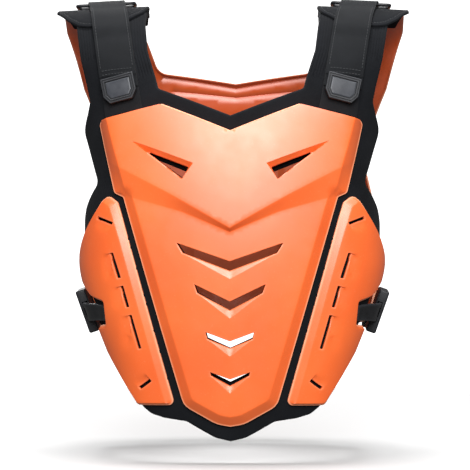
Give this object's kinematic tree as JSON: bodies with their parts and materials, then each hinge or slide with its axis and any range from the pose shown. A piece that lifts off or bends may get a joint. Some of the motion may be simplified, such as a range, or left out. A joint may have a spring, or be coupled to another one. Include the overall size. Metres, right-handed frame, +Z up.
{
  "type": "motorcycle chest protector",
  "caption": "Hard orange chest, flank and back shells on a black foam pad, joined over the shoulders and at the sides by webbing, worn over the torso.",
  "frame": {"origin": "on the wearer's skin line, midway between the shoulders that hold the part up", "axes": "+Z up, -Y out of the chest, +X to the right as seen from the front"},
  "size_m": [0.4242, 0.2887, 0.5252],
  "materials": {
    "orange_shell": "satin moulded plastic",
    "foam": "matte cloth-faced foam",
    "webbing": "woven webbing",
    "buckle_plastic": "fine-grained moulded plastic"
  },
  "bodies": {
    "root": {"front_pad": "foam", "front_plate": "orange_shell", "back_plate": "orange_shell", "wing_plate_right": "orange_shell", "wing_plate_left": "orange_shell", "shoulder_strap_right": "webbing", "shoulder_strap_left": "webbing", "strap_badge_right": "buckle_plastic", "strap_badge_left": "buckle_plastic", "strap_ring_right": "buckle_plastic", "strap_ring_left": "buckle_plastic", "ring_anchor_right": "webbing", "ring_anchor_left": "webbing", "shoulder_flap_right": "foam", "shoulder_flap_left": "foam", "buckle_tongue_right": "buckle_plastic", "buckle_tongue_left": "buckle_plastic", "side_buckle_right": "buckle_plastic", "side_buckle_left": "buckle_plastic", "side_strap_right": "webbing", "side_strap_left": "webbing"}
  },
  "joints": []
}
